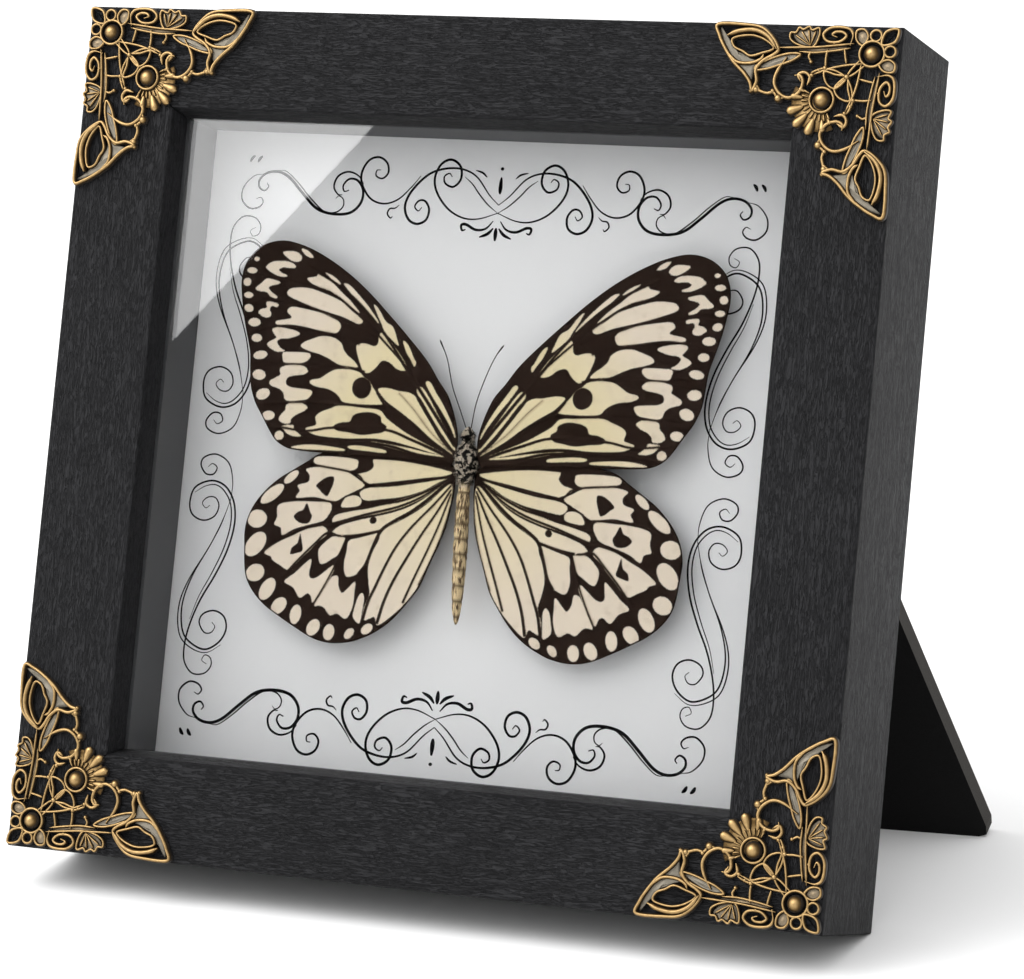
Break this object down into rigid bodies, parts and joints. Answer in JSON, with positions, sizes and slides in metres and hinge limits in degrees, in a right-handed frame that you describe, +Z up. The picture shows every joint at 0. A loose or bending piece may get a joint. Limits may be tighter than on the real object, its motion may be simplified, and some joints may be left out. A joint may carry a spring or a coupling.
{
  "type": "framed butterfly specimen",
  "caption": "Square box frame with a spread butterfly fixed in front of a printed card behind glass, with brass corner pieces and a hinged easel strut.",
  "frame": {"origin": "bottom centre of the object's box, on the surface that it stands on", "axes": "+Z up, +X to the viewer's right; the glass faces -Y and leans back by 15 degrees"},
  "size_m": [0.2034, 0.136, 0.2037],
  "materials": {
    "black_wood": "satin black with an embossed open-pore grain",
    "glass": "clear, polished",
    "grey_spacer": "matt grey",
    "white_card": "matt white with a thin black printed scrollwork border",
    "backing": "matt",
    "black_board": "black faces with a grey-brown cut edge",
    "antique_brass": "bright rims over dark recesses",
    "steel": "plain",
    "insect_body": "dry, mottled dark thorax and beige abdomen",
    "wing": "dry scaled membrane, cream with dark brown veins, bands and spots",
    "antenna": "dry and dark",
    "pad": "matt foam"
  },
  "bodies": {
    "frame": {"rail_top": "black_wood", "rail_bottom": "black_wood", "rail_left": "black_wood", "rail_right": "black_wood", "glass_pane": "glass", "spacer_top": "grey_spacer", "spacer_bottom": "grey_spacer", "spacer_left": "grey_spacer", "spacer_right": "grey_spacer", "mount_card": "white_card", "foam_block": "backing", "back_board": "black_board", "back_screw_1": "steel", "back_screw_2": "steel", "back_screw_3": "steel", "back_screw_4": "steel", "corner_top_left": "antique_brass", "corner_top_right": "antique_brass", "corner_bottom_left": "antique_brass", "corner_bottom_right": "antique_brass", "hinge_leaf_back": "steel", "hinge_pin": "steel", "hinge_rivet_1": "steel", "hinge_rivet_2": "steel", "butterfly_body": "insect_body", "forewing_left": "wing", "forewing_right": "wing", "hindwing_left": "wing", "hindwing_right": "wing", "antenna_left": "antenna", "antenna_right": "antenna", "specimen_pad": "pad"},
    "strut": {"strut": "black_board", "hinge_leaf_strut": "steel", "hinge_rivet_3": "steel", "hinge_rivet_4": "steel"}
  },
  "joints": [
    {"name": "strut_hinge", "type": "hinge", "parent": "frame", "child": "strut", "pos_m": [0.00612, 0.02504, 0.17182], "axis": [0.9781, 0.0538, 0.2008], "range_deg": [-23.9, 0]}
  ]
}
